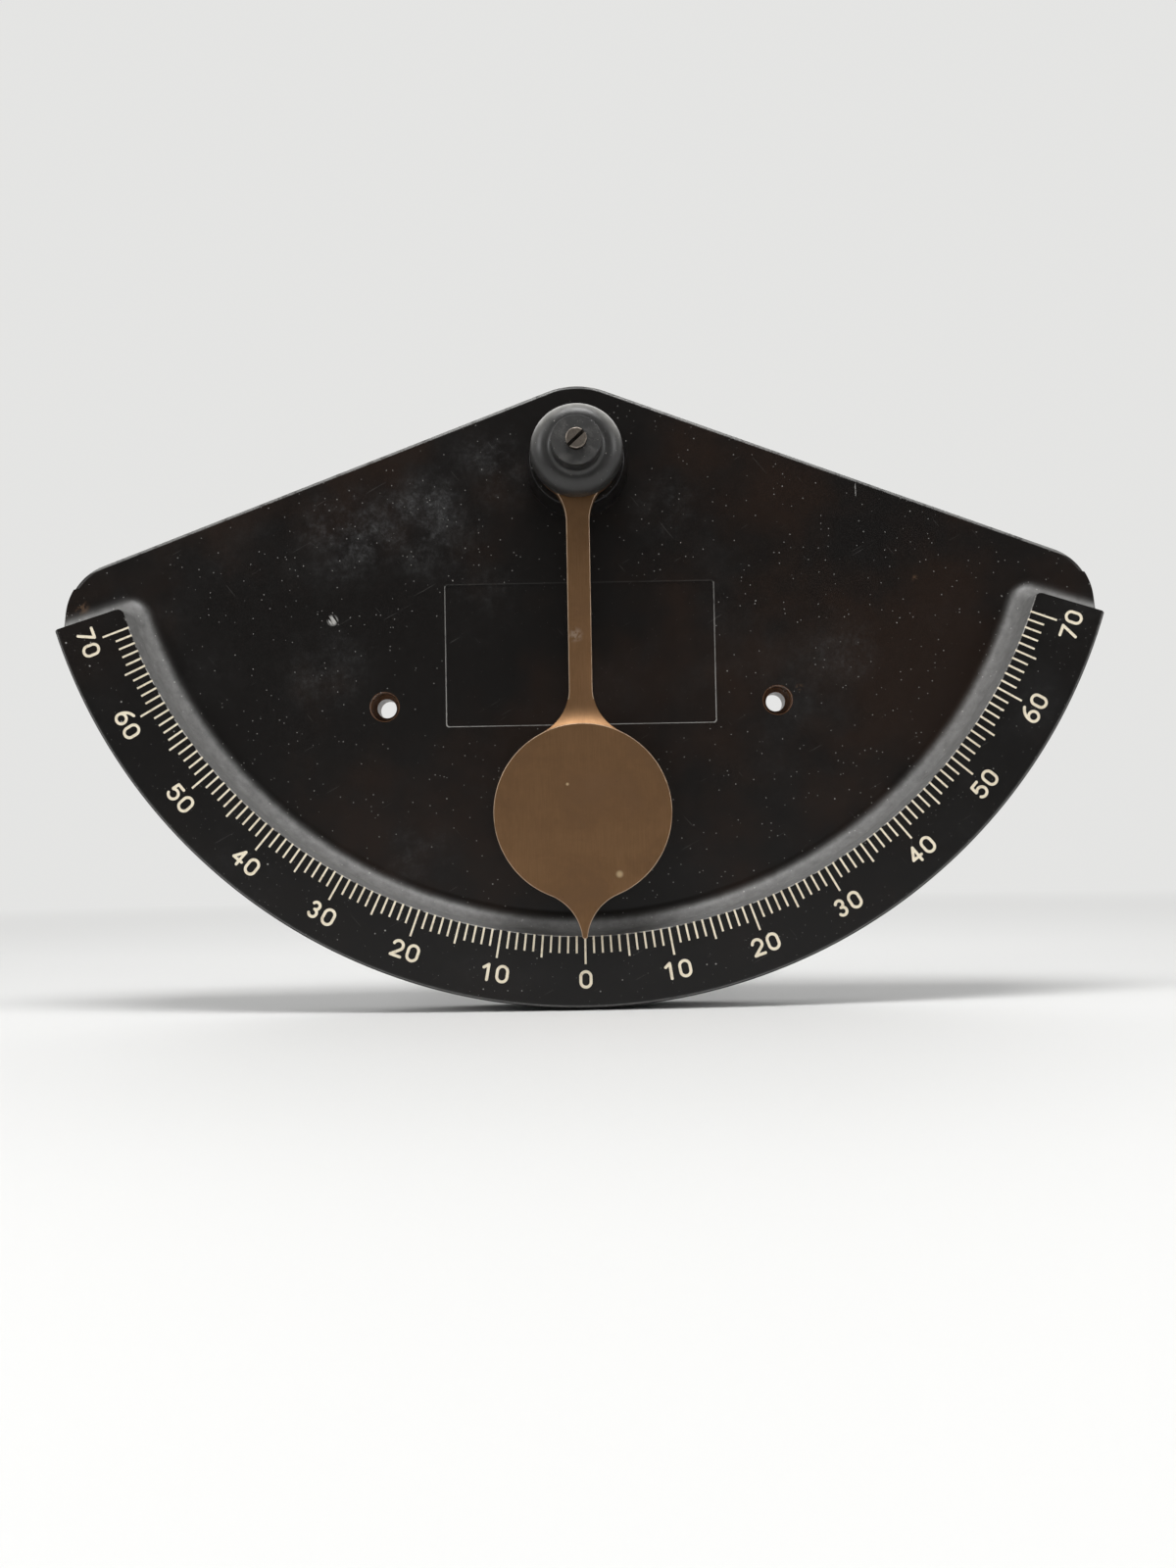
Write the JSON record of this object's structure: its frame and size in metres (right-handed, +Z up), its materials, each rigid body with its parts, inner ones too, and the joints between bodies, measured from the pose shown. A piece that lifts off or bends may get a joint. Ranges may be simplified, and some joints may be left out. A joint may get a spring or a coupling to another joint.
{
  "type": "inclinometer",
  "caption": "Bulkhead inclinometer: moulded dial with a degree scale along its foot and a weighted pendulum pointer on a ball bearing, held by screws through its plate.",
  "frame": {"origin": "midway between the two mounting holes, in the back plane", "axes": "+Z up, dial faces -Y, +X to the viewer's right"},
  "size_m": [0.2664, 0.0447, 0.1605],
  "materials": {
    "phenolic": "moulded phenolic, satin black, aged",
    "scale_paint": "cream filling paint in engraved marks",
    "insert_brass": "turned and knurled",
    "turned_steel": "turned",
    "bearing_steel": "ground and polished",
    "cage_brass": "pressed",
    "pendulum_bronze": "dull brown bronze with a fine vertical grain",
    "cap_phenolic": "turned black phenolic, satin",
    "screw_steel": "darkened steel with worn rims"
  },
  "bodies": {
    "mounted_dial": {"dial_body": "phenolic", "scale_graduations": "scale_paint", "scale_numerals": "scale_paint", "pivot_insert": "insert_brass", "pivot_stud": "turned_steel", "bearing_inner_race": "bearing_steel", "bearing_washer": "turned_steel", "pivot_nut": "turned_steel", "pivot_cap": "cap_phenolic", "cap_screw": "screw_steel"},
    "swinging_pendulum": {"pendulum": "pendulum_bronze", "bearing_outer_race": "bearing_steel"},
    "ball_set": {"bearing_cage": "cage_brass", "bearing_ball_1": "bearing_steel", "bearing_ball_2": "bearing_steel", "bearing_ball_3": "bearing_steel", "bearing_ball_4": "bearing_steel", "bearing_ball_5": "bearing_steel", "bearing_ball_6": "bearing_steel", "bearing_ball_7": "bearing_steel", "bearing_ball_8": "bearing_steel"}
  },
  "joints": [
    {"name": "pendulum_swing", "type": "hinge", "parent": "mounted_dial", "child": "swinging_pendulum", "pos_m": [0, -0.0272, 0.0616], "axis": [0, 1, 0], "continuous": true},
    {"name": "ball_set_roll", "type": "hinge", "parent": "mounted_dial", "child": "ball_set", "pos_m": [0, -0.0272, 0.0616], "axis": [0, 1, 0], "continuous": true}
  ],
  "couplings": [
    {"joint": "ball_set_roll", "follows": "pendulum_swing", "ratio": 0.607}
  ]
}
